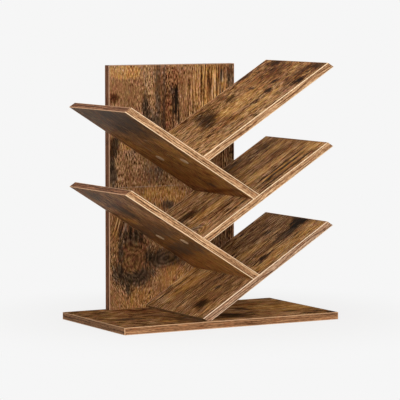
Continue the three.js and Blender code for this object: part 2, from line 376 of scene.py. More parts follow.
def grain(wire, along, across, layer, length, width, detail, rough):
    """Noise drawn out along the grain, around 0. A patch of it is about length by width, in millimetres."""
    drawn_out = {0: along * (1 / length), 1: across * (1 / width), 2: layer}
    stretched = wire.node("ShaderNodeCombineXYZ", inputs=drawn_out)
    inputs = {"Vector": stretched, "Scale": 1.0, "Detail": detail, "Roughness": rough}
    return wire.node("ShaderNodeTexNoise", inputs=inputs) - NOISE_MIDDLE


def hairline(noise, reach):
    """Thin lines: 1 where the noise passes through 0, and 0 at the given reach from there."""
    return abs(noise).ease(reach, 0.0)


print("noise is drawn out by", grain.__name__, "and thinned by", hairline.__name__)

# %% [markdown]
# On top of the even texture, every board has marks that one remembers it by: knots with rings, blots,
# cracks and golden patches. They are soft ellipses with a frayed edge, each placed in the board's own
# millimetres: the middle (along, across), the reach both ways, and how dark it is. A mark can be turned by
# some degrees. A knot also pushes the grain aside, as the branch did that once grew through the plank. Two
# tints stand for a texture and not for a colour: lined adds long thin lines, and even quiets what is there.

# %% Marks on the print
# Some marks hold painted shade and painted light: lines along the right branches' tips and along the low
# right branch's foot, and darker and paler stretches, partly print, on the panel, the base and the left
# branches' undersides.
RING_WOBBLE = 0.22
PUSH_FADES = (2.4, 0.6)
PUSH_SHARE = 0.6
MARKS = {}


class Mark:
    """A patch on a face of a board: dark, or pale when its depth is below 0.

    The edge says how soft its rim is, rings how far its growth rings are apart in millimetres, and tint
    which way its colour or texture leans. A mark that is below lies on the board's underside.
    """

    def __init__(self, along, across, reach, width, depth, turn=0, edge=0.5, rings=0, tint="grey",
                 below=False):
        self.middle = (along, across)
        self.reach = (reach, width)
        self.depth = depth
        self.turn = math.radians(turn)
        self.edge = edge
        self.rings = rings
        self.tint = tint
        self.below = below

    def distance(self, along, across, ragged=0):
        """0 in its middle and 1 at its rim, which the ragged noise makes uneven."""
        a = along - self.middle[0]
        b = across - self.middle[1]
        reach, width = self.reach
        if self.turn:
            cos, sin = math.cos(self.turn), math.sin(self.turn)
            first = a * (cos / reach) + b * (sin / reach)
            second = b * (cos / width) - a * (sin / width)
        else:
            first = a * (1 / reach)
            second = b * (1 / width)
        flat = along.node("ShaderNodeCombineXYZ", inputs={0: first, 1: second})
        return flat.length() + ragged

    def cover(self, distance):
        """How much of the mark is at a point, from 0 to 1."""
        return distance.ease(1 + self.edge, 1 - self.edge)

    def ripple(self, along, across, ragged):
        """The growth rings round the mark's middle, from -1 to 1."""
        calm = self.distance(along, across, ragged * RING_WOBBLE)
        return (calm * (self.reach[0] / self.rings * 2 * math.pi)).sine()

    def push_aside(self, along, across):
        """The way across the grain, with its lines led round the mark."""
        near = self.distance(along, across).ease(*PUSH_FADES)
        return across - (across - self.middle[1]) * near * PUSH_SHARE


def mark_board(name, *marks):
    """Keeps the marks of one board."""
    MARKS[name] = marks
    print(name, "has", len(marks), "marks")


print("a knot pushes the grain aside as far out as", PUSH_FADES[0], "times its reach")

# %% Marks on the back panel
mark_board(
    "back_panel",
    # The large knot low on the left, and the dark wood round it.
    Mark(93, -76, 40, 36, 0.13, edge=0.3, rings=8.5, tint="brown"),
    Mark(92, -76, 36, 32, 0.05, edge=0.5, tint="brown"),
    Mark(94, -75, 5, 5, 0.1, edge=0.7),
    Mark(118, -98, 34, 5, 0.16),
    Mark(72, -103, 15, 12, 0.18, edge=0.6),
    Mark(60, -82, 14, 20, 0.13, edge=0.6),
    Mark(45, -84, 17, 8, 0.18, edge=0.6),
    Mark(68, -54, 12, 18, 0.16, turn=-20, edge=0.6),
    Mark(98, -40, 11, 13, 0.18, turn=-14, edge=0.6),
    # The small knot beside it.
    Mark(94, -12, 16, 36, 0.1, turn=-8, edge=0.4, rings=6.5),
    Mark(95, -18, 14, 30, 0.14, turn=-6, edge=0.6),
    Mark(88, 4, 7, 16, 0.12, turn=10, edge=0.6),
    # Dark streaks that run up from the large knot.
    Mark(132, -74, 17, 20, 0.13, edge=0.7),
    Mark(146, -90, 26, 3, 0.24),
    Mark(142, -80, 24, 2, 0.2),
    Mark(150, -70, 26, 3, 0.2),
    Mark(140, -60, 22, 3, 0.2),
    # Golden wood round the knots, and over the whole lower part, among the branches, a darkening that is
    # partly browner print and partly painted shade.
    Mark(155, -106, 34, 9, -0.08, tint="gold"),
    Mark(28, -60, 20, 52, -0.07, tint="gold", edge=0.6),
    Mark(62, 4, 22, 28, -0.12, tint="gold", edge=0.6),
    Mark(90, 0, 120, 160, 0.08, tint="brown", edge=0.2),
    Mark(56, -14, 16, 20, -0.06, tint="gold", edge=0.6),
    # Blots at the left edge, between the two left branches.
    Mark(285, -110, 18, 8, 0.34, turn=8),
    Mark(262, -115, 18, 5, 0.24, turn=-6),
    Mark(236, -113, 18, 9, 0.24),
    Mark(288, -84, 10, 18, -0.1, tint="gold"),
    # The upper part: a red spot, long cracks, soft blots and reddish wood.
    Mark(366, -112, 8, 9, 0.28, tint="red"),
    Mark(360, 7, 28, 3.4, 0.5, edge=0.3, turn=2),
    Mark(376, 1, 9, 8, 0.22, edge=0.6),
    Mark(330, 12, 28, 1.5, 0.44, edge=0.3),
    Mark(346, 1, 26, 1.8, 0.26, edge=0.4),
    Mark(354, -52, 19, 6, 0.3, edge=0.6),
    Mark(338, -47, 14, 7, 0.22, edge=0.7),
    Mark(320, -34, 24, 16, 0.14, edge=0.7),
    Mark(380, -28, 50, 6, 0.18, edge=0.6),
    Mark(350, -16, 60, 3, 0.14, edge=0.6),
    Mark(345, -10, 44, 15, 0.07, tint="red"),
    Mark(398, 0, 20, 20, 0.06, tint="red"),
    # Blots in the upper right corner, and two behind the branches.
    Mark(400, 112, 24, 7, 0.22),
    Mark(404, 96, 12, 5, 0.2),
    Mark(185, -8, 6, 13, 0.26),
    Mark(238, -28, 18, 18, 0.12, edge=0.8),
    # Golden wood in the upper left corner and between the branches.
    Mark(409, -91, 11.5, 32, -0.1, edge=0.08, tint="gold"),
    Mark(196, -30, 20, 60, -0.12, edge=0.4, tint="gold"),
    # Stretches of long thin lines, one darkened by dark print and by painted shade between the branches, a
    # pale seam and a quiet stretch.
    Mark(365, 70, 62, 48, -0.01, tint="lined", edge=0.3),
    Mark(375, 70, 50, 46, 0.02, tint="gold", edge=0.6),
    Mark(262, 108, 44, 16, 0.02, tint="lined", edge=0.4),
    Mark(268, 108, 36, 14, 0.16, tint="brown", edge=0.5),
    Mark(125, 104, 50, 20, 0.02, tint="lined", edge=0.4),
    Mark(160, -95, 26, 26, 0.0, tint="lined", edge=0.5),
    Mark(216.5, -50, 1.2, 72, -0.14, edge=0.3, tint="grey"),
    Mark(366, -88, 46, 32, 0.0, tint="even", edge=0.6),
)

# %% Marks on the top right branch
mark_board(
    "right_branch_top",
    # The wide blot, the dark spots from it up to the tip, and a line of painted shade along the tip's edge.
    Mark(36, 34, 18, 42, 0.36, turn=-20, edge=0.6),
    Mark(34, 32, 28, 54, 0.08, turn=-18, edge=0.8),
    Mark(10, -3, 17, 9, 0.22, edge=0.7),
    Mark(98, 45, 11, 9, 0.38, edge=0.5),
    Mark(96, 66, 8, 14, 0.14),
    Mark(130, 22, 4, 11, 0.26),
    Mark(128, -35, 9, 8, 0.52, edge=0.3),
    Mark(156, -18, 7, 7, 0.42, edge=0.4),
    Mark(160, -82, 11, 13, 0.46, edge=0.6),
    Mark(151, -60, 8, 9, 0.26),
    Mark(188, -62, 16, 10, 0.22, edge=0.7),
    Mark(206, -84, 12, 22, 0.26, edge=0.7),
    Mark(217, 0, 4, 110, 0.3, edge=0.5),
    Mark(208, 52, 12, 14, 0.36, edge=0.5),
    Mark(188, 20, 26, 22, 0.14, edge=0.7),
    Mark(158, 88, 14, 9, 0.28, edge=0.6),
    # Red spots and reddish wood.
    Mark(23, 90, 9, 6, 0.4, tint="red"),
    Mark(30, -40, 40, 12, 0.17, tint="red", edge=0.7),
    Mark(-7, -42, 8, 6, 0.22, tint="red"),
    Mark(178, -75, 40, 26, 0.05, tint="red", edge=0.8),
    Mark(178, 30, 50, 70, 0.02, tint="red", edge=0.8),
    # Golden wood along the middle, and browner wood at the foot.
    Mark(88, 0, 46, 20, -0.11, tint="gold", edge=0.6),
    Mark(-24, 0, 44, 100, -0.06, tint="brown", edge=0.6),
    Mark(100, -56, 50, 7, -0.11, tint="gold"),
)

# %% Marks on the middle right branch
mark_board(
    "right_branch_middle",
    # A wide blot low on the branch, the small knot in front of it, and other spots.
    Mark(-20, 14, 27, 13, 0.4, turn=-12, edge=0.6),
    Mark(-58, -60, 28, 24, 0.22, rings=8),
    Mark(10, -50, 28, 9, 0.2, tint="red"),
    Mark(12, -84, 42, 3, 0.28),
    Mark(-50, 86, 14, 8, 0.16),
    Mark(186, 58, 14, 11, 0.24, edge=0.7),
    # Long cracks near the front edge, a line of painted shade along the tip's edge, and darker wood.
    Mark(136, -57, 62, 3, 0.36, edge=0.4),
    Mark(132, -71, 42, 4.5, 0.34, edge=0.4),
    Mark(110, -80, 26, 2.5, 0.2),
    Mark(136, -90, 62, 3.5, 0.36, edge=0.4),
    Mark(217, 0, 4, 110, 0.2, edge=0.5),
    Mark(176, -8, 26, 11, 0.16, tint="red"),
    Mark(112, 80, 40, 24, 0.14, edge=0.7),
    # Golden stripes between the cracks and beyond them.
    Mark(140, -64, 60, 3, -0.12, tint="gold"),
    Mark(150, -80, 60, 3, -0.14, tint="gold"),
    Mark(134, -28, 58, 13, -0.16, tint="gold", edge=0.5),
    Mark(130, -34, 50, 2.5, -0.12, tint="gold"),
    Mark(150, 24, 62, 9, -0.12, tint="gold", edge=0.6),
    Mark(205, -75, 14, 16, -0.12, tint="gold"),
    Mark(20, -22, 40, 11, -0.1, tint="gold"),
)

# %% Marks on the low right branch
mark_board(
    "right_branch_low",
    # The blot at the foot, a line of painted contact shadow along the foot's end, and the calm wood above
    # it.
    Mark(-30, -48, 12, 13, 0.44, edge=0.6),
    Mark(-71, 0, 3, 112, 0.35, edge=0.6),
    Mark(-14, -30, 44, 84, 0.02, tint="even", edge=0.5),
    Mark(14, -36, 5, 6, 0.16),
    # The spot by the crossing, the wide blot near the tip, and a line of painted shade along the tip's edge.
    Mark(103, -58, 9, 9, 0.46, edge=0.4),
    Mark(90, -68, 4, 4, 0.2),
    Mark(203, -28, 17, 20, 0.5, edge=0.25),
    Mark(172, -36, 28, 14, 0.24, edge=0.6),
    Mark(217, 0, 4, 110, 0.2, edge=0.5),
    Mark(164, 20, 9, 8, 0.22, edge=0.7),
    # The long crack close to the panel, in two parts.
    Mark(0, 78, 56, 1.9, 0.36, turn=-4, edge=0.5),
    Mark(-46, 86, 14, 2.0, 0.26, turn=-35),
    # Browner wood, and the golden stripes.
    Mark(-10, -30, 60, 60, 0.05, tint="brown", edge=0.8),
    Mark(160, 64, 60, 30, 0.1, tint="brown", edge=0.8),
    Mark(16, 58, 46, 26, -0.13, tint="gold", edge=0.6),
    Mark(22, 90, 32, 6, -0.12, tint="gold"),
    Mark(114, -2, 30, 4.5, -0.2, tint="gold"),
    Mark(108, 8, 32, 3, -0.14, tint="gold"),
    Mark(112, -10, 28, 3, -0.16, tint="gold"),
    Mark(140, -82, 72, 15, -0.09, tint="gold", edge=0.6),
)

# %% Marks on the top left branch
mark_board(
    "left_branch_top",
    # The underside, which is what the picture shows of this branch.
    # Its outer end is darker and its inner part paler: partly print, and partly painted shade and painted
    # light that even out the brighter open end and the shade near the panel.
    Mark(210, 0, 56, 130, 0.12, below=True, edge=0.7),
    Mark(-50, 10, 30, 120, -0.08, below=True, tint="brown", edge=0.7),
    Mark(178, -50, 40, 52, 0.12, turn=12, below=True, edge=0.6),
    Mark(156, 16, 20, 16, 0.14, below=True, edge=0.7),
    Mark(206, -10, 16, 16, 0.08, below=True, edge=0.7),
    Mark(-22, -16, 8, 16, 0.12, turn=16, below=True, edge=0.7),
    Mark(-44, 0, 5, 90, 0.1, turn=10, below=True, tint="red", edge=0.7),
    Mark(20, 0, 70, 120, -0.08, below=True, tint="gold", edge=0.7),
    Mark(22, -68, 12, 14, 0.0, below=True, tint="red", edge=0.7),
    Mark(110, -66, 22, 22, -0.06, below=True, tint="gold", edge=0.7),
    Mark(92, 66, 26, 20, -0.05, below=True, tint="gold", edge=0.7),
    Mark(96, 26, 22, 2.5, -0.12, below=True),
    Mark(124, -20, 2.5, 13, -0.14, below=True),
    # One soft blot on its upper face.
    Mark(60, 20, 40, 18, 0.2),
)

# %% Marks on the low left branch
mark_board(
    "left_branch_low",
    # The underside, which is what the picture shows of this branch.
    # Its outer end is darker and its inner part paler: partly print, and partly painted shade and painted
    # light that even out the brighter open end and the shade near the panel.
    Mark(210, 0, 56, 130, 0.1, below=True, tint="brown", edge=0.7),
    Mark(0, -20, 70, 120, -0.08, below=True, tint="gold", edge=0.7),
    Mark(-55, 0, 40, 120, -0.12, below=True, tint="brown", edge=0.7),
    Mark(190, -60, 50, 50, -0.06, below=True, tint="brown", edge=0.7),
    Mark(29, 0, 20, 110, 0.14, turn=18, below=True, edge=0.7),
    Mark(80, 20, 22, 80, 0.07, turn=17, below=True, edge=0.8),
    Mark(150, 12, 20, 22, 0.16, turn=14, below=True, edge=0.6),
    Mark(198, 50, 14, 18, 0.1, below=True, edge=0.7),
    Mark(160, -56, 26, 18, -0.08, below=True, tint="brown", edge=0.7),
    Mark(112, 50, 10, 24, -0.05, below=True, tint="gold", edge=0.7),
    # One soft blot on its upper face.
    Mark(80, -30, 40, 14, 0.2),
)

# %% Marks on the base
mark_board(
    "base_board",
    # Blots on the open right half, and on the left a wide soft patch of painted shade beside the foot of the
    # low right branch.
    Mark(28, -62, 25, 26, 0.32, edge=0.5),
    Mark(80, 4, 11, 14, 0.34, edge=0.6),
    Mark(70, -42, 10, 6, 0.26, edge=0.6),
    Mark(140, -60, 12, 10, 0.3, edge=0.6),
    Mark(178, -80, 10, 6, 0.3, edge=0.6),
    Mark(192, -99, 9, 8, 0.34, edge=0.4),
    Mark(150, -98, 14, 4, 0.26),
    Mark(-58, -70, 22, 34, 0.16, edge=0.7),
    # Painted shade on the left half, which lies under the branches, a paler open right half as painted
    # light, and the worn spots on the left.
    Mark(-120, 0, 80, 130, 0.06, tint="brown", edge=0.25),
    Mark(110, 0, 90, 130, -0.07, tint="brown", edge=0.4),
    Mark(-150, -20, 26, 12, 0.12, edge=0.7),
    Mark(-169, 3, 12, 6, -0.24, edge=0.5, tint="brown"),
    Mark(-100, -75, 14, 9, -0.14, tint="gold"),
    Mark(-90, 60, 40, 30, -0.04, tint="red", edge=0.7),
    # Golden and reddish wood on the right.
    Mark(150, -6, 52, 46, -0.09, tint="gold", edge=0.7),
    Mark(110, 50, 50, 10, 0.08, tint="red", edge=0.7),
)

# %% [markdown]
# The boards come from one printer but look unlike: the panel is speckled, the branches are streaked, and
# the left branches' undersides are nearly plain. So each board says how strong each part of its texture
# is, and a part that it doesn't name has a middling strength.

# %% Looks of the boards
class Look:
    """How a board's print looks.

    The level is how light it is on the whole. Patches, streaks, strokes, lines, fibres, speckle and flecks
    say how strong these parts of the texture are, and the two sizes how long and wide fibres and hairs are,
    in millimetres. Gold and grey are the shares of these tints, wander is how far the grain strays, in
    millimetres, and sheen how much the paper shines.
    """

    def __init__(self, level=0.54, patches=0.4, streaks=0.6, strokes=0.4, lines=0.5, fibres=0.8,
                 fibre_size=(28, 4.4), hair_size=(10, 2.2), speckle=1.4, flecks=0.6, gold=0.42, grey=0.36,
                 wander=10, sheen=0.01):
        self.level = level
        self.patches = patches
        self.streaks = streaks
        self.strokes = strokes
        self.lines = lines
        self.fibres = fibres
        self.fibre_size = fibre_size
        self.hair_size = hair_size
        self.speckle = speckle
        self.flecks = flecks
        self.gold = gold
        self.grey = grey
        self.wander = wander
        self.sheen = sheen


# The levels of the middle and low right branches also hold painted light: they are set lighter to make up
# for the shade in the pockets between the branches.
LOOKS = {
    "back_panel": Look(level=0.574, patches=0.33, streaks=0.2, strokes=0.12, lines=0.14, fibres=0.42,
                       fibre_size=(12, 1.6), hair_size=(6.5, 1.3), speckle=3.0, flecks=0.2, gold=0.3,
                       grey=0.38, wander=5),
    "base_board": Look(level=0.525, streaks=0.9, fibres=0.6, fibre_size=(44, 4.4), hair_size=(24, 3.4),
                       speckle=2.0, gold=0.47, grey=0.32, sheen=0.0),
    "right_branch_low": Look(level=0.541, patches=0.35, streaks=0.45, strokes=0.2, fibres=0.34,
                             fibre_size=(50, 1.7), hair_size=(26, 1.4), speckle=4.3, flecks=0.12,
                             gold=0.47, grey=0.33),
    "right_branch_middle": Look(level=0.608, streaks=0.8, fibres=0.75, fibre_size=(40, 2.7),
                                hair_size=(18, 1.8), speckle=2.9, flecks=0.25, gold=0.47, grey=0.3),
    "right_branch_top": Look(level=0.61, streaks=0.4, fibres=0.65, fibre_size=(28, 3.0), hair_size=(13, 2.0),
                             speckle=3.8, lines=0.6, gold=0.5, grey=0.24),
    "left_branch_low": Look(level=0.505, patches=0.6, fibres=0.4, fibre_size=(30, 3.2), hair_size=(14, 3.0),
                            speckle=2.0, sheen=0.04),
    "left_branch_top": Look(level=0.495, patches=0.6, fibres=0.4, fibre_size=(30, 3.2), hair_size=(14, 3.0),
                            speckle=2.0, sheen=0.04),
}
print("level of each board:", {name: look.level for name, look in LOOKS.items()})

# %% [markdown]
# The texture is drawn in layers of noise, and each layer has a patch size of its own. A layer's place in
# the list is also its place in the noise, which keeps the layers from being alike. For the same reason
# every board, and each of its two faces, looks into another part of the noise.

# %% Layers of the print
LAYERS = {
    # A patch's length and width in millimetres, or None where the board's look gives it, then the noise's
    # detail and roughness.
    "wander": (150, 60, 1.0, 0.6),
    "busy": (60, 34, 3.0, 0.6),
    "hairs": (None, None, 2.0, 0.6),
    "patches": (75, 30, 4.0, 0.6),
    "streaks": (95, 7, 3.0, 0.6),
    "fibres": (None, None, 4.0, 0.8),
    "lines": (90, 9, 3.0, 0.6),
    "flecks": (14, 4.6, 3.0, 0.65),
    "frayed": (16, 2.8, 3.0, 0.7),
    "lined": (60, 2.6, 3.0, 0.6),
    "gold": (60, 20, 3.0, 0.6),
    "fine gold": (12, None, 2.0, 0.6),
    "grey": (50, 20, 3.0, 0.6),
    "fine grey": (10, None, 2.0, 0.6),
    "strokes": (50, 6, 4.0, 0.65),
    "hue": (40, 14, 3.0, 0.6),
    "fine hue": (9, None, 2.0, 0.6),
    "wobble": (24, 20, 1.0, 0.5),
}
SEED_STEP = 83.0
SEEDS = {name: SEED_STEP * number for number, name in enumerate(boards)}
FACE_SEED = 41.0
BUSY_EDGES = (-0.12, 0.16)
FLECK_EDGES = (0.13, 0.18)


class Sheet:
    """The printed sheet of one board: where a point lies on it, its noise, and the tints of its marks."""

    def __init__(self, wire, board, marks, look):
        self.wire = wire
        self.marks = marks
        self.look = look
        self.tints = {}
        self.along, self.true_across, above = board.coordinates(wire)
        self.face = above > -board.thickness / 2
        self.seed = self.face * FACE_SEED + SEEDS[board.name]
        self.across = self.true_across
        for knot in (mark for mark in marks if mark.rings):
            self.across = knot.push_aside(self.along, self.across)
        self.across = self.across + self.noise("wander") * look.wander
        self.busy = self.noise("busy").ease(*BUSY_EDGES)
        self.hairs = self.noise("hairs", *look.hair_size)
        self.fleck = self.noise("flecks").ease(*FLECK_EDGES) * self.busy

    def noise(self, layer, length=None, width=None, led=True):
        """A layer of noise. Its grain is led round the knots unless led is False."""
        own_length, own_width, detail, rough = LAYERS[layer]
        size = (length or own_length, width or own_width)
        place = self.seed + (list(LAYERS).index(layer) + 1)
        across = self.across if led else self.true_across
        return grain(self.wire, self.along, across, place, *size, detail, rough)

    def lean(self, tint, share):
        """Notes that a share of the surface leans to a tint."""
        self.tints[tint] = self.tints[tint].at_least(share) if tint in self.tints else share


print("layers of noise:", len(LAYERS))

# %% [markdown]
# Streaks run along a board, and calm stretches take turns with busy ones, full of fine cracks and reddish
# flecks. All of it is added up around 0, so that a part can be made stronger with little effect on how
# dark the board is. The faces that look down or to the back are calmer than the others.

# %% The even texture
CALM_GRAIN = 0.6
BUSY_GRAIN = 0.8
CALM_LINES = 0.4
BUSY_LINES = 0.6
LINE_REACH = 0.04
FIBRE_EDGES = (-0.2, 0.06)
FIBRE_MEAN = 0.72
BELOW_CONTRAST = 0.7


def texture(sheet):
    """The tone of the even texture, around 0."""
    look = sheet.look
    strength = sheet.busy * BUSY_GRAIN + CALM_GRAIN
    tone = sheet.noise("patches") * look.patches
    tone = tone + sheet.noise("streaks") * look.streaks
    tone = tone + sheet.noise("strokes") * strength * look.strokes
    fibres = sheet.noise("fibres", *look.fibre_size).ease(*FIBRE_EDGES) - FIBRE_MEAN
    tone = tone + fibres * strength * look.fibres
    tone = tone + sheet.hairs * strength * look.speckle
    lines = hairline(sheet.noise("lines"), LINE_REACH)
    tone = tone - lines * (sheet.busy * BUSY_LINES + CALM_LINES) * look.lines
    tone = tone - sheet.fleck * look.flecks
    return tone * (sheet.face * (1 - BELOW_CONTRAST) + BELOW_CONTRAST)


print("grain of a busy stretch to a calm one:", round((CALM_GRAIN + BUSY_GRAIN) / CALM_GRAIN, 1))

# %% [markdown]
# Then the marks darken or lighten the board's level. Where a mark lies, the even texture gives way by a
# share that goes with its tint, as real knots and blots drown the grain. A knot's darkness comes in rings,
# which wobble with a slow noise and fray with a fine one.

# %% The marks in the tone
FRAY = 2.2
WOBBLE = 2.0
RING_DARKNESS = 0.15
LINED_STRENGTH = 3.0
CALMS = {"grey": 0.5, "gold": 0.25, "ringed": 0.75, "lined": 0.3, "even": 0.35}


def marked(sheet, tone):
    """The tone with the board's level and its marks. Their tints are noted on the sheet."""
    ragged = sheet.noise("frayed", led=False) * FRAY
    slow = sheet.noise("wobble", led=False) * WOBBLE
    level = sheet.look.level
    for mark in sheet.marks:
        distance = mark.distance(sheet.along, sheet.true_across, ragged)
        cover = mark.cover(distance) * (1 - sheet.face if mark.below else sheet.face)
        sheet.lean(mark.tint, cover)
        if mark.rings:
            sheet.lean("ringed", cover)
            cover = cover * (mark.ripple(sheet.along, sheet.true_across, ragged + slow) + RING_DARKNESS)
        level = level - cover * mark.depth
    for tint, calm in CALMS.items():
        if tint in sheet.tints:
            tone = tone * (1 - sheet.tints[tint] * calm)
    if "lined" in sheet.tints:
        tone = tone + sheet.noise("lined") * sheet.tints["lined"] * LINED_STRENGTH
    return tone + level


print("marks in all:", sum(len(marks) for marks in MARKS.values()))

# %% [markdown]
# The tone goes through three ramps, a brown, a golden and a greyish one. Slow and fine noise say how much
# of each shows, and a last pair of layers turns the hue a little, so that no two spots have quite the same
# brown. Flecks and red marks are blended in softly, which keeps their light and dark.

# %% Colours of the print
STOPS = (0.0, 0.2, 0.38, 0.54, 0.7, 0.86, 1.0)
SHADES = {
    "brown": [paint(34, 20, 10), paint(62, 40, 22), paint(94, 62, 36), paint(126, 86, 54),
              paint(156, 112, 74), paint(182, 137, 96), paint(206, 163, 121)],
    "gold": [paint(36, 21, 8), paint(74, 45, 19), paint(112, 73, 34), paint(149, 100, 49),
             paint(179, 127, 68), paint(203, 151, 90), paint(220, 177, 121)],
    "grey": [paint(30, 22, 15), paint(53, 40, 28), paint(81, 63, 47), paint(112, 88, 68),
             paint(143, 116, 93), paint(173, 144, 118), paint(200, 171, 145)],
}
LEANS = {
    # How much the slow noise, the fine noise and the marks count, then where the blend starts and ends.
    "gold": (0.8, 0.6, 0.3, (-0.12, 0.22)),
    "grey": (0.8, 0.8, 0.25, (-0.1, 0.2)),
}
FINE_WIDTH = 1.4
EVEN_SHARE = 0.5
RED = paint(112, 52, 36)
RED_IN_FLECKS = 0.35
RED_IN_MARKS = 0.4
HUE_MIDDLE = 0.5
HUE_SLOW = 0.04
HUE_FINE = 0.1


def colour_of(sheet, tone):
    """The colour of a tone, between the three ramps, with its reds and its turns of hue."""
    fine_width = sheet.look.fibre_size[1] * FINE_WIDTH
    own_shares = {"gold": sheet.look.gold, "grey": sheet.look.grey}
    ramps = {}
    for name, shades in SHADES.items():
        stops = list(zip(STOPS, shades))
        ramps[name] = sheet.wire.node("ShaderNodeValToRGB", {"stops": stops}, {"Fac": tone}, "Color")
    colour = ramps["brown"]
    for tint, (slow, fine, in_marks, edges) in LEANS.items():
        share = sheet.noise(tint) * slow + sheet.noise("fine " + tint, width=fine_width) * fine
        share = share + (own_shares[tint] - EVEN_SHARE)
        if tint in sheet.tints:
            share = share + sheet.tints[tint] * in_marks
        colour = colour.blend(ramps[tint], share.ease(*edges))
    red = sheet.fleck * RED_IN_FLECKS
    if "red" in sheet.tints:
        red = red.at_least(sheet.tints["red"] * RED_IN_MARKS)
    colour = colour.blend(RED, red, "SOFT_LIGHT")
    hue = sheet.noise("hue") * HUE_SLOW + sheet.noise("fine hue", width=fine_width) * HUE_FINE + HUE_MIDDLE
    return sheet.wire.node("ShaderNodeHueSaturation", {}, {"Hue": hue, "Color": colour}, "Color")


print("shades in each ramp:", {name: len(shades) for name, shades in SHADES.items()})

# %% [markdown]
# Where a board was sawn, its edge shows the chips that it was pressed from. Voronoi cells a few
# millimetres wide, mixed with noise, look like chips from close by and need no picture.

# %% Sawn edges
CHIPS_PER_METRE = 420.0
CLOUDS_PER_METRE = 260.0
CHIP_STOPS = [(0.2, paint(104, 78, 50)), (0.5, paint(170, 138, 98)), (0.8, paint(205, 176, 134))]
CHIP_SHARE = 0.5
CLOUD_SHARE = 0.6


def chip_colour(wire):
    """The chips of a sawn edge of particle board."""
    place = wire.node("ShaderNodeTexCoord", output="Object")
    chips = wire.node("ShaderNodeTexVoronoi", {}, {"Vector": place, "Scale": CHIPS_PER_METRE}, "Distance")
    clouds = wire.node("ShaderNodeTexNoise", {}, {"Vector": place, "Scale": CLOUDS_PER_METRE, "Detail": 2.0})
    shade = chips * CHIP_SHARE + clouds * CLOUD_SHARE
    return wire.node("ShaderNodeValToRGB", {"stops": CHIP_STOPS}, {"Fac": shade}, "Color")


print("a chip is about", round(1 / CHIPS_PER_METRE / MM, 1), "mm wide")

# %% [markdown]
# The paper is matt and a little rough. The same tone also dents it, because such prints are embossed along
# the grain. A face counts as sawn where its normal lies in the board's own plane.

# %% The wood print
SAWN_EDGES = (0.7, 0.5)
TONE_HEIGHT = 0.35
HAIR_HEIGHT = 0.9
EMBOSS_DEPTH = 0.12
EMBOSS_STRENGTH = 0.35
PAPER_ROUGHNESS = 0.58
SAWN_ROUGHER = 0.3
HAIRS_ROUGHER = 0.25


def wood_print(board, marks, look):
    """The print on both faces of a board, with bare chips where it was sawn."""
    material, shader, wire = new_material(board.name + "_print")
    sheet = Sheet(wire, board, marks, look)
    tone = marked(sheet, texture(sheet))
    normal = wire.node("ShaderNodeTexCoord", output="Normal")
    sawn = abs(normal.dot(board.outwards)).ease(*SAWN_EDGES)
    colour = colour_of(sheet, tone).blend(chip_colour(wire), sawn)
    height = tone * TONE_HEIGHT + sheet.hairs * HAIR_HEIGHT
    dents = {"Strength": EMBOSS_STRENGTH, "Distance": EMBOSS_DEPTH * MM, "Height": height}
    bump = wire.node("ShaderNodeBump", {}, dents, "Normal")
    roughness = PAPER_ROUGHNESS + sawn * SAWN_ROUGHER + sheet.hairs * HAIRS_ROUGHER
    feed(shader, Base_Color=colour, Roughness=roughness, Normal=bump, Specular_IOR_Level=look.sheen)
    return material


def dress(node, material):
    """Gives a solid of the frame its material."""
    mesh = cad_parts[node].data
    mesh.materials.clear()
    mesh.materials.append(material)


for name, board in boards.items():
    dress(name, wood_print(board, MARKS[name], LOOKS[name]))
    print(name, "is dressed:", len(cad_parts[name].data.materials[0].node_tree.nodes), "nodes")

# %% [markdown]
# The bands are thin strips of plastic, glued on and then trimmed with a bevel. Their print is a straight
# fine grain with a dark vein that wanders along it, and the bevel bares the paler plastic below the print,
# so each band has a pale rim on both sides and a thin dark line beside it. The rim is drawn wider than the
# bevel, so it is partly that bared plastic and partly a painted highlight along the band's arrises. The
# rim is worked out from how near a point is to the board's two faces. Painting it by the bevel's own
# direction would work as well, but at half a millimetre the bevel is too thin to show from a step away.

# %% Colours of the bands
BAND_STOPS = (0.1, 0.5, 0.9)


class Band:
    """A band's print: its colours, and how strong its vein, the lines beside its rims and its grain are."""

    def __init__(self, pale, middle, dark, rim, vein, beside, lines):
        self.stops = list(zip(BAND_STOPS, (dark, middle, pale)))
        self.rim = rim
        self.vein = vein
        self.beside = beside
        self.lines = lines


BANDS = {
    "branch": Band(paint(226, 186, 142), paint(162, 120, 84), paint(80, 48, 28), paint(244, 214, 176),
                   vein=0.4, beside=0.4, lines=1.8),
    "right_branch_low": Band(paint(214, 178, 146), paint(154, 118, 90), paint(76, 48, 34),
                             paint(236, 208, 178), vein=0.4, beside=0.4, lines=1.8),
    "tip": Band(paint(164, 116, 84), paint(112, 72, 46), paint(54, 28, 16), paint(206, 164, 128),
                vein=0.4, beside=0.3, lines=2.4),
    "panel": Band(paint(134, 92, 66), paint(94, 58, 38), paint(44, 24, 14), paint(196, 158, 128),
                  vein=0.4, beside=0.3, lines=2.0),
    "base": Band(paint(180, 134, 95), paint(135, 94, 63), paint(72, 46, 28), paint(206, 164, 126),
                 vein=0.2, beside=0.3, lines=2.4),
    "base_side": Band(paint(140, 104, 74), paint(104, 74, 50), paint(52, 32, 20), paint(166, 130, 98),
                      vein=0.25, beside=0.3, lines=2.0),
}
print("kinds of band:", ", ".join(BANDS))

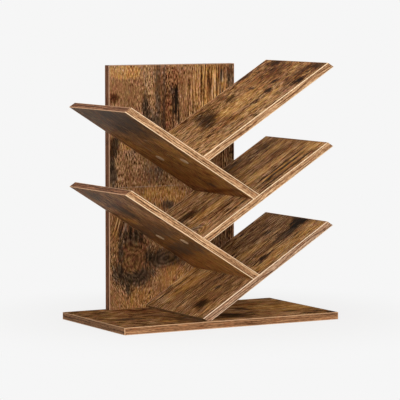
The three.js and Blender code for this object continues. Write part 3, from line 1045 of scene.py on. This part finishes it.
# %% Print of the bands
BAND_LAYERS = {
    # A place in the noise, a patch's length and width in millimetres, the noise's detail and roughness.
    "wave": (0.0, 80, 60, 1.0, 0.5),
    "lines": (5.0, 70, 1.2, 2.0, 0.6),
    "hairs": (9.0, 8, 1.3, 2.0, 0.6),
    "vein": (13.0, 45, 1, 1.0, 0.5),
    "beside": (17.0, 50, 12, 2.0, 0.5),
    "warmth": (21.0, 22, 5, 2.0, 0.6),
}
GRAIN_SWAY = 8
VEIN_SWAY = 14
BAND_TONE = 0.54
HAIR_STRENGTH = 1.4
VEIN_EDGES = (1.1, 0.3)
VEIN_SHOWS = (-0.25, 0.05)
RIM_WIDTH = 1.2
RIM_SOFTNESS = 0.25
RIM_SHARE = 0.75
LINE_FROM_RIM = 0.9
BESIDE_EDGES = (0.8, 0.2)
BESIDE_SHOWS = (-0.12, 0.1)
WARM = paint(200, 128, 70)
WARM_SHOWS = (0.0, 0.2)
WARM_SHARE = 0.25
BAND_DENTS = 0.1
BAND_DENT_STRENGTH = 0.25
BAND_ROUGHNESS = 0.5
BAND_HAIRS_ROUGHER = 0.2
BAND_SHEEN = 0.02


def rim_of(from_edge):
    """1 on a band's pale rim, which is bared plastic and painted highlight, and 0 on its print, from the
    distance to the edge.
    """
    return from_edge.ease(RIM_WIDTH + RIM_SOFTNESS, RIM_WIDTH - RIM_SOFTNESS)


def band_print(name, board, band, run, seed, half_length=None):
    """A band on one edge of a board, with its lines along the run. A half length paints highlights at its
    ends.
    """
    material, shader, wire = new_material(name)
    place = wire.node("ShaderNodeTexCoord", output="Object") * (1 / MM)
    along = place.dot(run)
    _, _, above = board.coordinates(wire)
    middle = above + board.thickness / 2

    def layer(kind, across):
        own_place, *shape = BAND_LAYERS[kind]
        return grain(wire, along, across, seed + own_place, *shape)

    wave = layer("wave", above)
    swayed = above + wave * GRAIN_SWAY
    hairs = layer("hairs", swayed)
    tone = layer("lines", swayed) * band.lines + hairs * HAIR_STRENGTH + BAND_TONE
    vein = abs(middle + wave * VEIN_SWAY).ease(*VEIN_EDGES) * layer("vein", along * 0).ease(*VEIN_SHOWS)
    from_face = board.thickness / 2 - abs(middle)
    beside = abs(from_face - (RIM_WIDTH + LINE_FROM_RIM)).ease(*BESIDE_EDGES)
    beside = beside * layer("beside", middle).ease(*BESIDE_SHOWS)
    tone = tone - vein * band.vein - beside * band.beside
    colour = wire.node("ShaderNodeValToRGB", {"stops": band.stops}, {"Fac": tone}, "Color")
    rim = rim_of(from_face)
    # Painted highlights on the band's rounded corners at its two ends.
    if half_length:
        rim = rim.at_least(rim_of(half_length - abs(along)))
    warmth = layer("warmth", middle).ease(*WARM_SHOWS) * WARM_SHARE
    colour = colour.blend(WARM, warmth, "SOFT_LIGHT").blend(band.rim, rim * RIM_SHARE)
    dents = {"Strength": BAND_DENT_STRENGTH, "Distance": BAND_DENTS * MM, "Height": tone}
    bump = wire.node("ShaderNodeBump", {}, dents, "Normal")
    roughness = BAND_ROUGHNESS + hairs * BAND_HAIRS_ROUGHER
    feed(shader, Base_Color=colour, Roughness=roughness, Normal=bump, Specular_IOR_Level=BAND_SHEEN)
    return material


print("layers in a band's print:", len(BAND_LAYERS))

# %% Bands on their boards
BRANCHES = [name for name in boards if "branch" in name]
BRANCH_SEED = 31.0
TIP_SEED = 1.7
OTHER_SEED = -29.0
BASE_HALF = 200

for number, name in enumerate(BRANCHES):
    board = boards[name]
    seed = BRANCH_SEED * number
    long_band = band_print(name + "_band_print", board, BANDS.get(name, BANDS["branch"]), board.along, seed)
    tip_band = band_print(name + "_tip_print", board, BANDS["tip"], board.across, seed + TIP_SEED)
    for edge in ("front", "rear"):
        dress(f"{name}_{edge}_band", long_band)
    dress(f"{name}_tip_band", tip_band)
base, panel = boards["base_board"], boards["back_panel"]
others = [("base_front", base, "base", base.along, BASE_HALF),
          ("base_rear", base, "base", base.along, BASE_HALF),
          ("base_left", base, "base_side", base.across, None),
          ("base_right", base, "base_side", base.across, None),
          ("panel_top", panel, "panel", panel.across, None),
          ("panel_left", panel, "panel", panel.along, None),
          ("panel_right", panel, "panel", panel.along, None)]
for number, (name, board, kind, run, half_length) in enumerate(others, start=1):
    seed = OTHER_SEED * number
    dress(name + "_band", band_print(name + "_print", board, BANDS[kind], run, seed, half_length))
print("bands:", sum(name.endswith("_band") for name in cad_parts))

# %% [markdown]
# Screws and caps are turned parts, so both start from a row of rings. Where a piece stands and which way it
# points is read from its solid in the frame: its heading is known by its name, and its axis is the middle
# of the solid, seen along that heading.

# %% Places of the small parts
UP = Vector((0, 0, 1))
HEADINGS = {
    "panel_screw": Vector((0, -1, 0)),
    "base_panel_screw": UP,
    "foot_screw": UP,
}


def heading_of(name):
    """The way that a screw is driven, or that a cap faces."""
    if "_end_" in name:
        side = 1 if name.startswith("right") else -1
        if "cap" in name:
            return Vector((side * -CLIMB, 0, -RUN))
        return Vector((side * RUN, 0, CLIMB))
    found = [word for word in HEADINGS if word in name]
    return HEADINGS[max(found, key=len)]


def place_of(name):
    """The turn and place of a small part, and its length.

    Its own up is its heading, and its foot is the solid's lowest point that way.
    """
    turn = heading_of(name).to_track_quat("Z", "Y").to_matrix()
    local = [turn.transposed() @ vertex.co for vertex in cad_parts[name].data.vertices]
    lows = [min(point[i] for point in local) for i in range(3)]
    highs = [max(point[i] for point in local) for i in range(3)]
    foot = Vector(((lows[0] + highs[0]) / 2, (lows[1] + highs[1]) / 2, lows[2]))
    return Matrix.Translation(turn @ foot) @ turn.to_4x4(), highs[2] - lows[2]


print("heading of a cap:", tuple(round(x, 2) for x in heading_of("right_branch_top_end_cap_front")))


# %% Rings and their skin
def ring_at(radius, height, count):
    """A ring of points round the part's own axis. The radius may be a number or a rule of the angle."""
    angles = [2 * math.pi * i / count for i in range(count)]
    radii = [radius(angle) if callable(radius) else radius for angle in angles]
    return [(r * math.cos(a) * MM, r * math.sin(a) * MM, height * MM) for r, a in zip(radii, angles)]


def mesh_of(name, rings):
    """A closed mesh through rings of equally many points, with its faces pointing out."""
    shape = bmesh.new()
    rows = [[shape.verts.new(point) for point in ring] for ring in rings]
    count = len(rows[0])
    for low, high in zip(rows, rows[1:]):
        for i in range(count):
            j = (i + 1) % count
            shape.faces.new((low[i], low[j], high[j], high[i]))
    shape.faces.new(list(reversed(rows[0])))
    shape.faces.new(rows[-1])
    bmesh.ops.recalc_face_normals(shape, faces=shape.faces)
    mesh = bpy.data.meshes.new(name)
    shape.to_mesh(mesh)
    shape.free()
    return mesh


def smooth(mesh, sharp_degrees):
    """Shades a mesh smooth, apart from edges that are sharper than the angle."""
    for face in mesh.polygons:
        face.use_smooth = True
    mesh.set_sharp_from_angle(angle=math.radians(sharp_degrees))
    return mesh


print("a ring of four points:", [tuple(round(x / MM, 1) for x in point) for point in ring_at(1, 0, 4)])

# %% [markdown]
# A wood screw: a countersunk head with a cross recess, a thread whose crest winds round a thinner core, and
# a point. The thread could be a swept profile, but a sleeve of rings whose radius follows the winding is
# simpler and closed by itself. The recess is cut with a tapered cross, as the stamp does it.

# %% Body of a screw
HEAD_RADIUS = 3.8
HEAD_RIM = 0.4
HEAD_BEVEL = 0.15
HEAD_BEVEL_HEIGHT = 0.12
SHANK_RADIUS = 2.0
NECK_RADIUS = 1.55
NECK_FILLET = 0.4
NECK = 3.4
THREAD_CORE = 1.35
THREAD_PITCH = 1.8
THREAD_HALF_WIDTH = 0.32
THREAD_STEPS = 5
POINT = 4.0
POINT_RADIUS = 0.03
POINT_BLUNTED = 0.02
SCREW_SIDES = 16


def thread_radius(height, length):
    """The screw's radius at a height, as a rule of the angle round it."""
    tip = min(1.0, (length - height) / POINT)
    fade = min(1.0, max(0.0, (height - NECK) / THREAD_PITCH))

    def radius(angle):
        turn = (height / THREAD_PITCH - angle / (2 * math.pi)) % 1
        crest = max(0.0, 1 - abs(turn - 0.5) / THREAD_HALF_WIDTH)
        threaded = THREAD_CORE + (SHANK_RADIUS - THREAD_CORE) * crest
        return (NECK_RADIUS + (threaded - NECK_RADIUS) * fade) * tip
    return radius


def screw_rings(length):
    """The screw from its head's face to its point."""
    cone = HEAD_RIM + HEAD_RADIUS - SHANK_RADIUS
    profile = [(HEAD_RADIUS - HEAD_BEVEL, 0.0), (HEAD_RADIUS, HEAD_BEVEL_HEIGHT), (HEAD_RADIUS, HEAD_RIM),
               (SHANK_RADIUS, cone), (NECK_RADIUS, cone + NECK_FILLET), (NECK_RADIUS, NECK)]
    rings = [ring_at(radius, height, SCREW_SIDES) for radius, height in profile]
    steps = int((length - NECK) / THREAD_PITCH * THREAD_STEPS)
    for step in range(1, steps):
        height = NECK + (length - NECK) * step / steps
        rings.append(ring_at(thread_radius(height, length), height, SCREW_SIDES))
    rings.append(ring_at(POINT_RADIUS, length - POINT_BLUNTED, SCREW_SIDES))
    return rings


print("rings of a 40 mm screw:", len(screw_rings(40)))

# %% Recess of a screw
RECESS_SPAN = 2.15
RECESS_ARM = 0.5
RECESS_ARM_KEEPS = 0.45
RECESS_DEPTH = 1.9
RECESS_TIP = 0.25
RECESS_STARTS = -0.5
SCREW_SHARP_DEGREES = 32


def cross_ring(scale, height):
    """The cross recess's outline at a height. Its arms get narrower less quickly than they get shorter."""
    s = RECESS_SPAN * scale
    a = RECESS_ARM * (RECESS_ARM_KEEPS + (1 - RECESS_ARM_KEEPS) * scale)
    points = [(s, -a), (s, a), (a, a), (a, s), (-a, s), (-a, a),
              (-s, a), (-s, -a), (-a, -a), (-a, -s), (a, -s), (a, -a)]
    return [(x * MM, y * MM, height * MM) for x, y in points]


def cut_with(mesh, cutter_mesh):
    """The mesh with another one cut out of it."""
    body = bpy.data.objects.new("cut_body", mesh)
    cutter = bpy.data.objects.new("cut_tool", cutter_mesh)
    for part in (body, cutter):
        scene.collection.objects.link(part)
    knife = body.modifiers.new("recess", "BOOLEAN")
    knife.operation = "DIFFERENCE"
    knife.solver = "EXACT"
    knife.object = cutter
    bpy.context.view_layer.update()
    made = bpy.data.meshes.new_from_object(body.evaluated_get(bpy.context.evaluated_depsgraph_get()))
    bpy.data.objects.remove(body)
    bpy.data.objects.remove(cutter)
    return made


def screw_mesh(length):
    """A whole screw with its recess. Its head's face is at the origin and it points up."""
    cutter = mesh_of("recess", [cross_ring(1.0, RECESS_STARTS), cross_ring(1.0, 0.0),
                                cross_ring(RECESS_TIP, RECESS_DEPTH)])
    return smooth(cut_with(mesh_of("screw", screw_rings(length)), cutter), SCREW_SHARP_DEGREES)


print("the recess is", 2 * RECESS_SPAN, "mm across")

# %% [markdown]
# The screws are zinc plated, so they are bright and a little cloudy, and brushed by handling. Two noises in
# metal's colour and roughness give that. A dent map would be lost at this size.

# %% Zinc plated steel
SCRATCHES_PER_METRE = 900.0
ZINC_CLOUDS_PER_METRE = 160.0
ZINC_STOPS = [(0.3, paint(168, 166, 160)), (0.7, paint(214, 213, 208))]
ZINC_ROUGHNESS = 0.26
SCRATCHES_ROUGHER = 0.2

steel, shader, wire = new_material("zinc_plated_steel")
place = wire.node("ShaderNodeTexCoord", output="Object")
fine = {"Vector": place, "Scale": SCRATCHES_PER_METRE, "Detail": 3.0}
wide = {"Vector": place, "Scale": ZINC_CLOUDS_PER_METRE, "Detail": 2.0}
scratches = wire.node("ShaderNodeTexNoise", inputs=fine)
clouds = wire.node("ShaderNodeTexNoise", inputs=wide)
colour = wire.node("ShaderNodeValToRGB", {"stops": ZINC_STOPS}, {"Fac": clouds}, "Color")
feed(shader, Base_Color=colour, Metallic=1.0, Roughness=ZINC_ROUGHNESS + scratches * SCRATCHES_ROUGHER)
print("steel:", len(steel.node_tree.nodes), "nodes")

# %% Screws in their places
screws = {}
for name in sorted(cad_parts):
    if "screw" not in name:
        continue
    place, length = place_of(name)
    key = round(length / MM, 1)
    if key not in screws:
        screws[key] = screw_mesh(key)
        screws[key].materials.append(steel)
    screw = bpy.data.objects.new(name + "_dressed", screws[key])
    screw.matrix_world = place
    scene.collection.objects.link(screw)
    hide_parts(name)
    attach(screw, "root")
print("faces of a screw, by length:", {key: len(mesh.polygons) for key, mesh in screws.items()})

# %% [markdown]
# The caps are thin round stickers with a wood print of their own, a little paler than the boards. A disc
# with a rounded rim and a slightly raised middle catches the light as the real ones do.

# %% Cap
CAP_RADIUS = 8.0
CAP_THICKNESS = 0.5
CAP_SIDES = 56
CAP_SHARP_DEGREES = 50
CAP_PROFILE = [
    # The rim rounds over within its last 0.18 mm, and from there the face rises gently to the middle.
    (CAP_RADIUS, 0.0),
    (CAP_RADIUS, 0.22),
    (CAP_RADIUS - 0.05, 0.34),
    (CAP_RADIUS - 0.18, 0.42),
    (CAP_RADIUS * 0.8, 0.455),
    (CAP_RADIUS * 0.45, 0.49),
    (CAP_RADIUS * 0.12, CAP_THICKNESS),
]

sticker = mesh_of("cap", [ring_at(radius, height, CAP_SIDES) for radius, height in CAP_PROFILE])
smooth(sticker, CAP_SHARP_DEGREES)
print("faces of a cap:", len(sticker.polygons))

# %% Film of the caps
FILM_LINES = (20, 1.4, 2.0, 0.6)
FILM_SEED = 2.0
FILM_STOPS = [(0.2, paint(138, 108, 75)), (0.5, paint(184, 153, 117)), (0.8, paint(218, 192, 158))]
FILM_CONTRAST = 0.9
FILM_TONE = 0.52
FILM_ROUGHNESS = 0.42
FILM_LINES_ROUGHER = 0.1


def cap_film(board):
    """The caps' film on one board, with its lines along that board."""
    material, shader, wire = new_material(board.name + "_cap_film")
    along, across, _ = board.coordinates(wire)
    lines = grain(wire, along, across, FILM_SEED, *FILM_LINES)
    tone = lines * FILM_CONTRAST + FILM_TONE
    colour = wire.node("ShaderNodeValToRGB", {"stops": FILM_STOPS}, {"Fac": tone}, "Color")
    feed(shader, Base_Color=colour, Roughness=FILM_ROUGHNESS + lines * FILM_LINES_ROUGHER)
    return material


print("a line of the film is about", FILM_LINES[0], "mm long")

# %% Caps in their places
films = {}
for name in sorted(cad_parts):
    if "_end_cap_" not in name:
        continue
    place, _ = place_of(name)
    branch = name.split("_end_")[0]
    if branch not in films:
        films[branch] = sticker.copy()
        films[branch].materials.append(cap_film(boards[branch]))
    cap = bpy.data.objects.new(name + "_dressed", films[branch])
    cap.matrix_world = place
    scene.collection.objects.link(cap)
    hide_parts(name)
    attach(cap, "root")
print("caps:", sum("_end_cap_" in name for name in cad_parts))

# %% [markdown]
